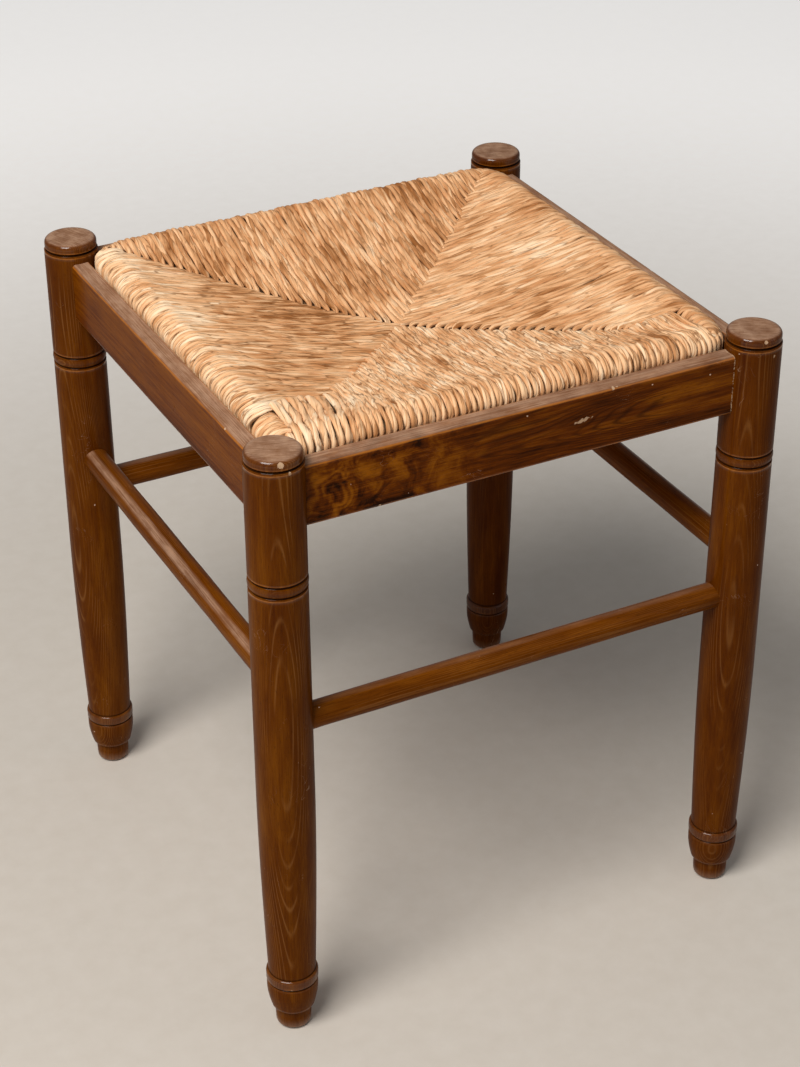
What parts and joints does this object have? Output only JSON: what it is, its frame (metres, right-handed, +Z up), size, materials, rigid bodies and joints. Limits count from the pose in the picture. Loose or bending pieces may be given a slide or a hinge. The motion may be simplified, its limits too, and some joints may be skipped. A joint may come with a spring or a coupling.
{
  "type": "rush-seated stool",
  "caption": "Square low stool: turned round legs joined by aprons and round rungs, with a dished rush seat wound on a loose frame that drops in between the aprons.",
  "frame": {"origin": "on the floor, under the middle of the seat", "axes": "+Z up, +X along the front apron to its right end, +Y from the front to the back"},
  "size_m": [0.3804, 0.3804, 0.45],
  "materials": {
    "walnut_stain": "walnut-stained beech under a worn semi-gloss varnish",
    "bare_beech": "plain beech, no finish",
    "golden_rush": "twisted golden rush with orange and brown streaks",
    "packed_straw": "loose straw packed flat"
  },
  "bodies": {
    "frame": {"leg_front_left": "walnut_stain", "leg_front_right": "walnut_stain", "leg_back_right": "walnut_stain", "leg_back_left": "walnut_stain", "apron_front": "walnut_stain", "apron_right": "walnut_stain", "apron_back": "walnut_stain", "apron_left": "walnut_stain", "dowel_front_left_lower": "bare_beech", "dowel_front_left_upper": "bare_beech", "dowel_front_right_lower": "bare_beech", "dowel_front_right_upper": "bare_beech", "dowel_right_front_lower": "bare_beech", "dowel_right_front_upper": "bare_beech", "dowel_right_back_lower": "bare_beech", "dowel_right_back_upper": "bare_beech", "dowel_back_right_lower": "bare_beech", "dowel_back_right_upper": "bare_beech", "dowel_back_left_lower": "bare_beech", "dowel_back_left_upper": "bare_beech", "dowel_left_back_lower": "bare_beech", "dowel_left_back_upper": "bare_beech", "dowel_left_front_lower": "bare_beech", "dowel_left_front_upper": "bare_beech", "rung_front": "walnut_stain", "rung_right": "walnut_stain", "rung_back": "walnut_stain", "rung_left": "walnut_stain"},
    "seat": {"seat_bar_front": "bare_beech", "seat_bar_right": "bare_beech", "seat_bar_back": "bare_beech", "seat_bar_left": "bare_beech", "rush_front": "golden_rush", "rush_right": "golden_rush", "rush_back": "golden_rush", "rush_left": "golden_rush", "stuffing_front": "packed_straw", "stuffing_right": "packed_straw", "stuffing_back": "packed_straw", "stuffing_left": "packed_straw"}
  },
  "joints": [
    {"name": "seat_lift_out", "type": "slide", "parent": "frame", "child": "seat", "axis": [0, 0, 1], "range_m": [0, 0.06]}
  ]
}
